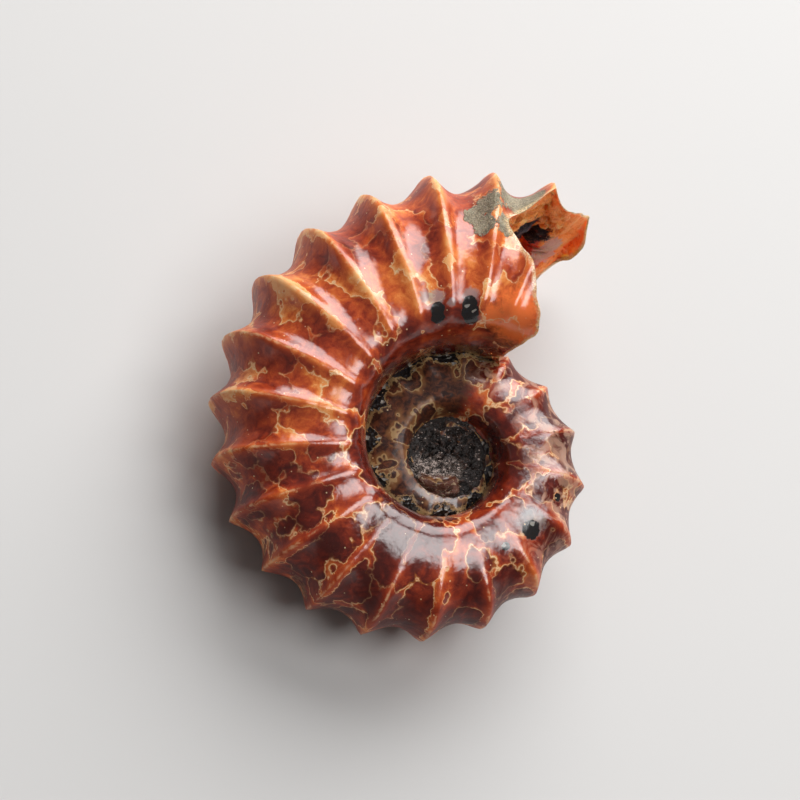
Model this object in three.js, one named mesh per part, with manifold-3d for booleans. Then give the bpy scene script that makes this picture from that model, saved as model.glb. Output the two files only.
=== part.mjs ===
// A polished ammonite fossil, about 55 mm across, lying on its flank.
//
// The shell is one stony piece: a fat tube coiled in a plane as a logarithmic spiral, each turn a little
// wrapped over the one before it. Sharp ribs cross the tube from one navel over the belly to the other, with
// hollow scallops between them. The wide end is broken and hollow, and both navels end in a pit of dark rock.
//
// Units are millimetres, +Z is up, and the origin is under the middle of the part, on the surface it lies on.
import * as THREE from "three";
import { LoftGeometry } from "three/addons/geometries/LoftGeometry.js";
import { mergeVertices } from "three/addons/utils/BufferGeometryUtils.js";
import Module from "manifold-3d";

const { abs, cos, exp, hypot, max, sign, sin, PI } = Math;
const { degToRad, lerp, smoothstep } = THREE.MathUtils;

// ---- Driving dimensions ----
const WIDE_END_RADIUS = 33; // from the coil's axis to the belly, in a hollow between ribs, at the wide end
const WIDE_END_HEADING = 58; // degrees from +X, where the wide end lies
const SPIRAL_RATE = 0.1466; // growth per radian: each turn is 2.5 times as large as the one inside it

// The tube's cross-section, in shares of the belly's radius at that place. Angles round it are in degrees:
// 0 is the middle of the belly, 90 the upper flank, -90 the lower one and 180 the back, on the turn inside.
// Roundness is the power of each half's curve: 2 is an ellipse, and more is squarer.
const SECTION = {
  middle: 0.563,
  back: 0.372,
  belly: 1.004,
  halfWidth: 0.42,
  bellyRoundness: 2.3,
  backRoundness: 2.7,
};

// The ribs, counted back from the wide end: rib 0 is on the rim. Farther back they stand more degrees apart,
// and the spacing sways a little.
const RIB_SPACING = {
  start: 0.7,
  first: 10.74,
  opening: 0.29,
  sway: 2.77,
  swayRate: 0.4775,
  swayStart: 4.32,
};
// The power of the hollow curve from a crest down into the scallop, and how far a crest is rounded over, in
// ribs. The flank, between these places round the section, has flatter scallops and rounder crests.
const BELLY_RIB = { sharpness: 1.95, rounding: 0.02 };
const FLANK_RIB = { sharpness: 3.0, rounding: 0.15 };
const FLANK_FROM = 35;
const FLANK_BY = 70;
// How high the crests stand, in shares of the belly's radius, where along the rib, and how far that reaches.
const RIB_HEIGHTS = [
  { height: 0.079, at: 0, reach: 38 }, // belly
  { height: 0.058, at: 42, reach: 22, fades: 0.2 }, // shoulders
  { height: 0.022, at: 74, reach: 17, fades: 1 }, // flank, where the older half of the turn is smooth
  { height: 0.01, at: 104, reach: 12, fades: 1 }, // edge of the navel
];
const SMOOTHER_FROM = 110; // degrees back from the wide end where the flank's ribs begin to fade
const SMOOTHER_BY = 200; // and where they have faded

const LAST_RIB = 40; // the innermost rib, deep in the rock
const PIECE_ENDS = [0, 10, 20, 28, 35, LAST_RIB]; // the coil is parted here, so that no piece meets itself
const SECTION_POINTS = 24;
// Where sections stand, in shares of the way from one rib to the next, from the rib number given on.
const STATIONS = [
  { rib: 0, shares: [0, 0.1, 0.28, 0.5, 0.72, 0.9] },
  { rib: 20, shares: [0, 0.25, 0.5, 0.75] },
  { rib: 36, shares: [0, 0.5] },
];

// The broken wide end: how many ribs back its rim stands, round the section. Below zero is ahead of rib 0.
const RIM_BASE = 0.15;
const RIM_BREAKS = [
  { back: 1.5, at: 58, reach: 27 }, // a notch broken out of the upper flank
  { back: 0.1, at: 10, reach: 30 }, // its slanting end on the belly
  { back: -0.45, at: -22, reach: 20 }, // a tongue past the middle of the belly
  { back: -0.5, at: 122, reach: 22 }, // the knob by the upper navel
];
const HOLLOW = { depth: 2.1, steepness: 7 }; // ribs back to its bottom, and how steep its wall is
const SLANTING_WALL = { less: 5, at: 12, reach: 34 }; // where its wall is thick and slants in, on the belly
const HOLLOW_SHARES = [0, 0.4, 0.7, 0.88, 0.96, 1]; // where its sections stand, from the bottom to the rim
const RIM_CROWDING = 0.08; // how closely the wall's sections crowd behind the rim where it is broken back
const BEHIND_RIM = -0.2; // rib count of the wall's first section, behind the rim all round
const TONGUE = { reach: 0.5, share: 0.8 }; // how far a piece reaches into the one before it, and how thick

// The rock in the middle, and the pits in it. The pits are a little off the axis.
const ROCK = { radius: 6, halfThickness: 2 };
const PIT = { x: 0.45, y: -0.45, floorRadius: 4.6, mouthRadius: 5.5, edgeHeight: 1.7, middleHeight: 1.2 };
const PIT_TOP = 9; // clear of the turns round it
const PIT_LUMPS = 0.28; // half the height of the lumps on its floor

// How it lies: the wide end is the fattest part, so the coil's plane slopes up towards it, by these degrees.
const REST = { slope: 8.1, slopeHeading: 64.5 };
const WORN = 0.35; // how much is worn off the ribs that touch the surface
const FINEST = 0.04; // steps in the surface that are smaller than this are evened out

// ---- The coil's shape ----

/** Degrees back from the wide end of the crest of rib number n, which may be a fraction. */
function ribAngle(n) {
  const { start, first, opening, sway, swayRate, swayStart } = RIB_SPACING;
  return start + first * n + opening * n ** 2 + sway * sin(swayRate * n + swayStart);
}

/** A hump of height 1 at the middle, for a place round the section in degrees. */
const hump = (place, middle, reach) => exp(-(((place - middle) / reach) ** 2));

/** Height of the crest at a place round the section, for a place along the coil in degrees. */
function crestHeight(place, angle) {
  const smoother = smoothstep(angle, SMOOTHER_FROM, SMOOTHER_BY);
  const parts = RIB_HEIGHTS.map(
    ({ height, at, reach, fades = 0 }) => height * (1 - fades * smoother) * hump(abs(place), at, reach),
  );
  return parts.reduce((sum, part) => sum + part);
}

/** Height across the ribs at a place round the section, from 1 on a crest down to 0 halfway to the next. */
function ribProfile(n, place) {
  const flank = smoothstep(abs(place), FLANK_FROM, FLANK_BY);
  const rounding = lerp(BELLY_RIB.rounding, FLANK_RIB.rounding, flank);
  const fall = (off) => hypot(off, rounding) - rounding;
  return (1 - fall(n - Math.round(n)) / fall(0.5)) ** lerp(BELLY_RIB.sharpness, FLANK_RIB.sharpness, flank);
}

/** A point on the smooth section, as [distance from the coil's axis, height over its plane]. */
function sectionPoint(place) {
  const { middle, back, belly, halfWidth, bellyRoundness, backRoundness } = SECTION;
  const [c, s] = [cos(degToRad(place)), sin(degToRad(place))];
  const [reach, roundness] = c >= 0 ? [belly - middle, bellyRoundness] : [middle - back, backRoundness];
  const rounded = (value) => sign(value) * abs(value) ** (2 / roundness);
  return [middle + reach * rounded(c), halfWidth * rounded(s)];
}

/** The way out of the section at a place round it. */
function sectionNormal(place) {
  const [out0, up0] = sectionPoint(place - 1);
  const [out1, up1] = sectionPoint(place + 1);
  const length = hypot(out1 - out0, up1 - up0);
  return [(up1 - up0) / length, (out0 - out1) / length];
}

/** A point of the wall at rib count n and a place round the section, drawn in to a share of its size. */
function wallPoint(n, place, share = 1) {
  const angle = ribAngle(n);
  const height = crestHeight(place, angle) * ribProfile(n, place);
  const [out, up] = sectionPoint(place);
  const [normalOut, normalUp] = sectionNormal(place);
  const radius = lerp(SECTION.middle, out + normalOut * height, share);
  const rise = (up + normalUp * height) * share;
  const size = WIDE_END_RADIUS * exp(-SPIRAL_RATE * degToRad(angle));
  const heading = degToRad(WIDE_END_HEADING + angle);
  return new THREE.Vector3(radius * cos(heading), radius * sin(heading), rise).multiplyScalar(size);
}

/** Places round the section, in the order that turns the faces outwards. */
const PLACES = Array.from({ length: SECTION_POINTS }, (_, i) => 180 - (360 / SECTION_POINTS) * (i + 0.5));

/** How many ribs back the rim of the broken end stands, at a place round the section. */
function rimBack(place) {
  return RIM_BREAKS.reduce((sum, { back, at, reach }) => sum + back * hump(place, at, reach), RIM_BASE);
}

/** A section of the broken end's hollow, drawn in to a share of the tube: 0 is its bottom, 1 its rim. */
function hollowSection(share) {
  const { less, at, reach } = SLANTING_WALL;
  return PLACES.map((place) => {
    const rise = share ** (HOLLOW.steepness - less * hump(place, at, reach));
    return wallPoint(lerp(HOLLOW.depth, rimBack(place), rise), place, share);
  });
}

/** A section of the wall. Where the rim is broken back past it, it bends back to stay just behind the rim. */
function wallSection(n, share = 1) {
  const behindRim = (place) => rimBack(place) + RIM_CROWDING * (n + 0.5);
  return PLACES.map((place) => wallPoint(max(n, behindRim(place)), place, share));
}

/** Rib counts at which the sections stand, from one rib to another. */
function stationsBetween(from, to) {
  const counts = [];
  for (let rib = from; rib < to; rib++) {
    const { shares } = STATIONS.findLast((station) => rib >= station.rib);
    counts.push(...shares.map((share) => rib + share));
  }
  return [...counts, to];
}

/** The coil from one rib to another. A piece that isn't the first has a tongue into the one before it. */
function coilPiece(from, to) {
  const walls = stationsBetween(from, to).map((n) => wallSection(n));
  if (from > 0) {
    const tongue = wallSection(from - TONGUE.reach, TONGUE.share);
    return new LoftGeometry([tongue, ...walls], { capStart: true, capEnd: true });
  }
  const hollow = HOLLOW_SHARES.map(hollowSection);
  return new LoftGeometry([...hollow, wallSection(BEHIND_RIM), ...walls], { capEnd: true });
}

// ---- Rock, pits and the surface it lies on ----

/** The disc of rock that fills the middle of the coil. */
function rockDisc() {
  return new THREE.CylinderGeometry(ROCK.radius, ROCK.radius, 2 * ROCK.halfThickness, 28).rotateX(PI / 2);
}

/** What is hollowed out over the rock on the upper side: a bowl with a lumpy floor. */
function pitBowl() {
  const { floorRadius, mouthRadius, edgeHeight, middleHeight } = PIT;
  const floor = [0, 0.35, 0.7, 1].map(
    (share) => new THREE.Vector2(floorRadius * share, lerp(middleHeight, edgeHeight, share ** 2)),
  );
  const outline = [...floor, new THREE.Vector2(mouthRadius, PIT_TOP), new THREE.Vector2(0, PIT_TOP)];
  const bowl = new THREE.LatheGeometry(outline, 18).rotateX(PI / 2);
  const corners = bowl.attributes.position;
  for (let i = 0; i < corners.count; i++) {
    const [x, y, z] = [corners.getX(i), corners.getY(i), corners.getZ(i)];
    if (z < PIT_TOP) corners.setZ(i, z + PIT_LUMPS * sin(1.9 * x + 0.7 * y) * cos(2.3 * y - 0.8 * x));
  }
  return bowl.translate(PIT.x, PIT.y, 0);
}

// ---- Joining and cutting ----

const wasm = await Module();
wasm.setup();

/** A closed geometry as a solid that can be joined and cut: corners shared, empty faces left out. */
function solidFrom(geometry) {
  const bare = new THREE.BufferGeometry().setAttribute("position", geometry.attributes.position);
  const merged = mergeVertices(bare.setIndex(geometry.index), 1e-4);
  const corners = merged.index.array;
  const faces = [];
  for (let i = 0; i < corners.length; i += 3) {
    const [a, b, c] = corners.slice(i, i + 3);
    if (a !== b && b !== c && c !== a) faces.push(a, b, c);
  }
  const vertProperties = merged.attributes.position.array;
  const triVerts = new Uint32Array(faces);
  return new wasm.Manifold(new wasm.Mesh({ numProp: 3, vertProperties, triVerts }));
}

/** A solid as a three.js geometry with flat faces. */
function geometryFrom(solid) {
  const { vertProperties, triVerts } = solid.getMesh();
  const geometry = new THREE.BufferGeometry();
  geometry.setAttribute("position", new THREE.BufferAttribute(vertProperties, 3));
  geometry.setIndex(new THREE.BufferAttribute(triVerts, 1));
  const faceted = geometry.toNonIndexed();
  faceted.computeVertexNormals();
  return faceted;
}

/** A solid without the slivers that joining and cutting leave. */
const evened = (solid) => solid.asOriginal().simplify(FINEST);

/** The whole fossil as one solid in the coil's own frame: its axis on Z, its plane at z = 0. */
function coilSolid() {
  let coil = solidFrom(rockDisc());
  for (let i = 1; i < PIECE_ENDS.length; i++) {
    coil = coil.add(solidFrom(coilPiece(PIECE_ENDS[i - 1], PIECE_ENDS[i])));
  }
  const upper = pitBowl();
  const lower = upper.clone().rotateX(PI).translate(0, 2 * PIT.y, 0);
  coil = coil.subtract(solidFrom(upper)).subtract(solidFrom(lower));
  // Between the turns small voids are left, shut in: only the outermost surface is kept.
  const larger = (a, b) => (b.volume() > a.volume() ? b : a);
  return evened(coil.decompose().reduce(larger));
}

/** The turn and the shift that lay a coil over the origin, with what is to be worn off below z = 0. */
function layingDown(coil) {
  const heading = degToRad(REST.slopeHeading);
  const hinge = new THREE.Vector3(-sin(heading), cos(heading), 0);
  const turn = new THREE.Matrix4().makeRotationAxis(hinge, -degToRad(REST.slope));
  const turned = geometryFrom(coil).applyMatrix4(turn);
  turned.computeBoundingBox();
  const { min, max } = turned.boundingBox;
  return turn.setPosition(-(min.x + max.x) / 2, -(min.y + max.y) / 2, -min.z - WORN);
}

/** The fossil as it lies, with the ribs that touch the surface worn flat. */
function fossilGeometry() {
  const coil = coilSolid();
  const laid = layingDown(coil);
  const size = 4 * WIDE_END_RADIUS;
  const below = new THREE.BoxGeometry(size, size, size).translate(0, 0, -size / 2);
  const wornOff = solidFrom(below.applyMatrix4(laid.clone().invert()));
  return geometryFrom(evened(coil.subtract(wornOff))).applyMatrix4(laid);
}

const polishedStone = new THREE.MeshStandardMaterial({ color: 0x8a3f1c, roughness: 0.22, metalness: 0 });
const ammonite = new THREE.Mesh(fossilGeometry(), polishedStone);
ammonite.name = "ammonite";

const part = new THREE.Group();
part.add(ammonite);
export default part;
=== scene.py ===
"""A polished ammonite fossil: a ribbed coil of brown calcite, broken at its wide end, lying on its flank."""

import logging
import math
from dataclasses import dataclass
from enum import Enum

import bmesh
import bpy
import numpy as np
from mathutils import Matrix, Vector, kdtree, noise


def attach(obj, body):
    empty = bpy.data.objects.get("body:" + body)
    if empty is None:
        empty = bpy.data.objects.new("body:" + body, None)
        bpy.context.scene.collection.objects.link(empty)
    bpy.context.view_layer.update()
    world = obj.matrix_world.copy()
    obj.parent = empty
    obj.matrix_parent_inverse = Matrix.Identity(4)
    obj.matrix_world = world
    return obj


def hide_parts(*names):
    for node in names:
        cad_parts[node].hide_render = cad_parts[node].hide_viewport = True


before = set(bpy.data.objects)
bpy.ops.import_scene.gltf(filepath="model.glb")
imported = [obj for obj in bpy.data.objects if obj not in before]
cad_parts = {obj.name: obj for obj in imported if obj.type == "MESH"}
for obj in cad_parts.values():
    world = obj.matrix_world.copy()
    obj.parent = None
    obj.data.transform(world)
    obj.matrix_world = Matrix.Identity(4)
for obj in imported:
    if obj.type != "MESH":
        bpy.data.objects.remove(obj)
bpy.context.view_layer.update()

log = logging.getLogger("ammonite")

MM = 0.001
NOISE_SEED = 11
MAPS = ("coil", "inside")


class Finish(Enum):
    """The surfaces of the fossil, in the order of the piece's material slots."""

    STONE = 0
    ROCK = 1


class Fusing(Enum):
    """What is done with a solid that meets the body."""

    JOIN = "UNION"
    CUT = "DIFFERENCE"


# ---- The shape of the coil, in millimetres, with its axis on Z and its plane at z = 0 ----


@dataclass(frozen=True)
class RibPlan:
    """Where the ribs stand, counted back from rib 0 on the broken rim, in degrees back from the wide end."""

    start: float = 0.7
    first: float = 10.74
    opening: float = 0.29
    sway: float = 2.77
    sway_rate: float = 0.4775
    sway_start: float = 4.32

    def angle(self, count: np.ndarray) -> np.ndarray:
        """Degrees back from the wide end for a rib count, which may be a fraction.

        Args:
            count: Rib counts.

        Returns:
            The angles, in the same shape.
        """
        swaying = self.sway * np.sin(self.sway_rate * count + self.sway_start)
        return self.start + self.first * count + self.opening * count**2 + swaying


@dataclass(frozen=True)
class TubeSection:
    """The smooth cross-section of the tube, in shares of the belly's radius."""

    middle: float = 0.563
    back: float = 0.372
    belly: float = 1.004
    half_width: float = 0.42
    belly_roundness: float = 2.3
    back_roundness: float = 2.7

    def point(self, place: np.ndarray) -> tuple[np.ndarray, np.ndarray]:
        """Points of the section.

        Args:
            place: Degrees round the section: 0 is the belly, 90 the upper flank, 180 the back.

        Returns:
            Distances from the coil's axis and heights over its plane.
        """
        c, s = np.cos(np.radians(place)), np.sin(np.radians(place))
        reach = np.where(c >= 0, self.belly - self.middle, self.middle - self.back)
        power = 2 / np.where(c >= 0, self.belly_roundness, self.back_roundness)
        out = self.middle + reach * np.sign(c) * np.abs(c) ** power
        return out, self.half_width * np.sign(s) * np.abs(s) ** power

    def normal(self, place: np.ndarray) -> tuple[np.ndarray, np.ndarray]:
        """The ways out of the section, as parts away from the axis and up.

        Args:
            place: Degrees round the section.

        Returns:
            The two parts of the unit normals.
        """
        out0, up0 = self.point(place - 1)
        out1, up1 = self.point(place + 1)
        length = np.hypot(out1 - out0, up1 - up0)
        return (up1 - up0) / length, (out0 - out1) / length


@dataclass(frozen=True)
class CrestHump:
    """One stretch of a rib's crest: its height in shares of the belly's radius, and where it stands."""

    height: float
    at: float
    reach: float
    fades: float = 0.0


@dataclass(frozen=True)
class RimBreak:
    """A place where the broken rim stands back, in ribs, or ahead if it is below zero."""

    back: float
    at: float
    reach: float


def hump(place: np.ndarray, middle: float, reach: float) -> np.ndarray:
    """A hump of height 1 at the middle.

    Args:
        place: Where to work it out.
        middle: Its middle.
        reach: How far it reaches.

    Returns:
        Heights from 0 to 1.
    """
    return np.exp(-(((place - middle) / reach) ** 2))


def smooth_rise(value: np.ndarray, low: float, high: float) -> np.ndarray:
    """A smooth step from 0 at low to 1 at high.

    Args:
        value: Where to work it out.
        low: Where the rise starts.
        high: Where it ends.

    Returns:
        Values from 0 to 1.
    """
    share = np.clip((value - low) / (high - low), 0, 1)
    return share * share * (3 - 2 * share)


@dataclass(frozen=True)
class Coil:
    """The whole coil's form: a growing spiral, its section, its ribs and its broken rim."""

    end_radius: float = 33.0
    end_heading: float = 58.0
    rate: float = 0.1466
    ribs: RibPlan = RibPlan()
    section: TubeSection = TubeSection()
    belly_sharpness: float = 1.95
    flank_sharpness: float = 3.0
    belly_rounding: float = 0.02
    flank_rounding: float = 0.15
    smoother_from: float = 110.0
    smoother_by: float = 200.0
    crests: tuple[CrestHump, ...] = (
        CrestHump(0.079, 0, 38),
        CrestHump(0.058, 42, 22, fades=0.2),
        CrestHump(0.022, 74, 17, fades=1.0),
        CrestHump(0.010, 104, 12, fades=1.0),
    )
    rim_base: float = 0.15
    rim_breaks: tuple[RimBreak, ...] = (
        RimBreak(1.5, 58, 27),
        RimBreak(0.1, 10, 30),
        RimBreak(-0.45, -22, 20),
        RimBreak(-0.5, 122, 22),
    )
    flank_places: tuple[float, float] = (35.0, 70.0)
    rim_crowding: float = 0.08
    crowding_from: float = -0.5
    rim_chipping: float = 0.07
    chips_per_degree: float = 0.11
    chips_row: float = 3.7
    hollow_depth: float = 2.1
    hollow_steepness: float = 7.0
    slanting_wall: RimBreak = RimBreak(5.0, 12, 34)

    def crest_height(self, place: np.ndarray, angle: np.ndarray) -> np.ndarray:
        """Height of the crests, in shares of the belly's radius.

        Args:
            place: Degrees round the section.
            angle: Degrees back from the wide end.

        Returns:
            The heights.
        """
        smoother = smooth_rise(angle, self.smoother_from, self.smoother_by)
        folded = np.abs(place)
        return sum(c.height * (1 - c.fades * smoother) * hump(folded, c.at, c.reach) for c in self.crests)

    def rib_profile(self, count: np.ndarray, place: np.ndarray) -> np.ndarray:
        """Height across the ribs, from 1 on a crest down to 0 halfway to the next.

        Args:
            count: Rib counts.
            place: Degrees round the section; the crests are rounder on the flanks than on the belly.

        Returns:
            Heights from 0 to 1.
        """
        off = np.abs(count - np.round(count))
        flank = smooth_rise(np.abs(place), *self.flank_places)
        roundness = self.belly_rounding + (self.flank_rounding - self.belly_rounding) * flank
        sharpness = self.belly_sharpness + (self.flank_sharpness - self.belly_sharpness) * flank
        rounded = np.hypot(off, roundness) - roundness
        furthest = np.hypot(0.5, roundness) - roundness
        return (1 - rounded / furthest) ** sharpness

    def rim_back(self, place: np.ndarray) -> np.ndarray:
        """How many ribs back the chipped rim stands, at places round the section.

        Args:
            place: Degrees round the section.

        Returns:
            Rib counts.
        """
        broken = sum(b.back * hump(place, b.at, b.reach) for b in self.rim_breaks)
        rows = [Vector((self.chips_per_degree * degrees, 0.0, self.chips_row)) for degrees in place]
        return self.rim_base + broken + self.rim_chipping * np.array([noise.noise(row) for row in rows])

    def wall(self, count: np.ndarray, place: np.ndarray, share: float = 1.0) -> np.ndarray:
        """Points of the wall.

        Args:
            count: Rib counts.
            place: Degrees round the section.
            share: How far the section is drawn in, from 0 at its middle to 1.

        Returns:
            One row of x, y, z for each, in millimetres.
        """
        angle = self.ribs.angle(count)
        height = self.crest_height(place, angle) * self.rib_profile(count, place)
        out, up = self.section.point(place)
        normal_out, normal_up = self.section.normal(place)
        middle = self.section.middle
        radius = middle + (out + normal_out * height - middle) * share
        rise = (up + normal_up * height) * share
        size = self.end_radius * np.exp(-self.rate * np.radians(angle))
        heading = np.radians(self.end_heading + angle)
        away = size * radius
        return np.stack([away * np.cos(heading), away * np.sin(heading), size * rise], axis=1)

    def behind_rim(self, count: float, place: np.ndarray) -> np.ndarray:
        """The rib counts of one section of the wall, bent back to stay behind the rim.

        Args:
            count: The section's own rib count.
            place: Degrees round the section.

        Returns:
            Rib counts.
        """
        return np.maximum(count, self.rim_back(place) + self.rim_crowding * (count - self.crowding_from))

    def in_hollow(self, share: float, place: np.ndarray) -> np.ndarray:
        """The rib counts of one section of the broken end's hollow.

        Args:
            share: 0 at the bottom of the hollow, 1 on the rim.
            place: Degrees round the section.

        Returns:
            Rib counts.
        """
        slant = self.slanting_wall
        rise = share ** (self.hollow_steepness - slant.back * hump(place, slant.at, slant.reach))
        return self.hollow_depth + (self.rim_back(place) - self.hollow_depth) * rise


@dataclass(frozen=True)
class CoilPiece:
    """A stretch of the coil's tube, less than a turn long, built by drawing a ring out section by section."""

    coil: Coil
    first: float
    last: float
    ring_points: int
    steps_per_rib: int
    tongue_reach: float = 0.5
    tongue_share: float = 0.8
    ahead: float = 0.45
    hollow_rings: int = 40
    hollow_easing: float = 1.3

    def build(self) -> bmesh.types.BMesh:
        """Makes the closed stretch of tube.

        Returns:
            A new bmesh in millimetres, with the rib count and place of each corner in its UV map.
        """
        mesh = bmesh.new()
        count_of = mesh.verts.layers.float.new("count")
        place_of = mesh.verts.layers.float.new("place")
        depth_of = mesh.verts.layers.float.new("depth")
        ring = bmesh.ops.create_circle(mesh, segments=self.ring_points, radius=1.0)["verts"]
        for vert in ring:
            vert[place_of] = math.degrees(math.atan2(vert.co.y, vert.co.x)) + 180 / self.ring_points
        edges = list(mesh.edges)
        steps = round((self.last - self.first) * self.steps_per_rib)
        counts = [self.first + step / self.steps_per_rib for step in range(steps + 1)]
        if self.first == 0:
            more = range(round(self.ahead * self.steps_per_rib))
            counts = [-self.ahead + step / self.steps_per_rib for step in more] + counts
        self._place(ring, counts[0], 1.0, count_of, place_of)
        first_edges = list(edges)
        for count in counts[1:]:
            ring, edges = self._draw_out(mesh, edges)
            self._place(ring, count, 1.0, count_of, place_of)
        bmesh.ops.contextual_create(mesh, geom=edges)
        if self.first == 0:
            self._hollow(mesh, first_edges, count_of, place_of, depth_of)
        else:
            ring, edges = self._draw_out(mesh, first_edges)
            self._place(ring, self.first - self.tongue_reach, self.tongue_share, count_of, place_of)
            bmesh.ops.contextual_create(mesh, geom=edges)
        bmesh.ops.recalc_face_normals(mesh, faces=mesh.faces)
        self._map(mesh, count_of, place_of, depth_of)
        return mesh

    def _draw_out(self, mesh: bmesh.types.BMesh, edges: list) -> tuple[list, list]:
        """Extrudes a ring.

        Args:
            mesh: The bmesh.
            edges: The ring's edges.

        Returns:
            The new ring's vertices and edges.
        """
        made = bmesh.ops.extrude_edge_only(mesh, edges=edges)["geom"]
        ring = [e for e in made if isinstance(e, bmesh.types.BMVert)]
        own = set(ring)
        edges = [e for e in made if isinstance(e, bmesh.types.BMEdge) and all(v in own for v in e.verts)]
        return ring, edges

    def _place(self, ring: list, count: float, share: float, count_of: object, place_of: object) -> None:
        """Moves a ring's vertices onto a section of the wall.

        Args:
            ring: The vertices.
            count: The section's rib count.
            share: How far it is drawn in.
            count_of: The layer that keeps the rib counts.
            place_of: The layer that holds the places round the section.
        """
        places = np.array([vert[place_of] for vert in ring])
        counts = self.coil.behind_rim(count, places)
        self._move(ring, counts, self.coil.wall(counts, places, share), count_of)

    def _move(self, ring: list, counts: np.ndarray, points: np.ndarray, count_of: object) -> None:
        """Puts a ring's vertices at points and notes their rib counts.

        Args:
            ring: The vertices.
            counts: Their rib counts.
            points: Their places in millimetres.
            count_of: The layer that keeps the rib counts.
        """
        for vert, count, point in zip(ring, counts, points):
            vert.co = point
            vert[count_of] = count

    def _hollow(
        self, mesh: bmesh.types.BMesh, edges: list, count_of: object, place_of: object, depth_of: object
    ) -> None:
        """Draws the broken end in to the bottom of its hollow, and closes it.

        Args:
            mesh: The bmesh.
            edges: The rim's edges.
            count_of: The layer that keeps the rib counts.
            place_of: The layer that holds the places round the section.
            depth_of: The layer that keeps how deep in the hollow each vertex is, from 0 on the rim to 1.
        """
        for step in range(1, self.hollow_rings):
            share = 1 - (step / self.hollow_rings) ** self.hollow_easing
            ring, edges = self._draw_out(mesh, edges)
            places = np.array([vert[place_of] for vert in ring])
            counts = self.coil.in_hollow(share, places)
            self._move(ring, counts, self.coil.wall(counts, places, share), count_of)
            for vert in ring:
                vert[depth_of] = 1 - share
        bottom = bmesh.ops.contextual_create(mesh, geom=edges)["faces"]
        for vert in bmesh.ops.poke(mesh, faces=bottom)["verts"]:
            vert[depth_of] = 1.0

    def _map(self, mesh: bmesh.types.BMesh, count_of: object, place_of: object, depth_of: object) -> None:
        """Writes rib counts and places, in quarter turns of the section, and depths into two UV maps.

        Args:
            mesh: The bmesh.
            count_of: The layer with the rib counts.
            place_of: The layer with the places round the section.
            depth_of: The layer with the depths in the hollow.
        """
        uv, inside = (mesh.loops.layers.uv.new(name) for name in MAPS)
        for face in mesh.faces:
            places = [vert[place_of] for vert in face.verts]
            wraps = max(places) - min(places) > 180
            for loop in face.loops:
                place = loop.vert[place_of] + (360 if wraps and loop.vert[place_of] < 0 else 0)
                loop[uv].uv = (loop.vert[count_of], place / 90)
                loop[inside].uv = (loop.vert[depth_of], 0.0)
        for name in ("count", "place", "depth"):
            mesh.verts.layers.float.remove(mesh.verts.layers.float[name])


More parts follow.
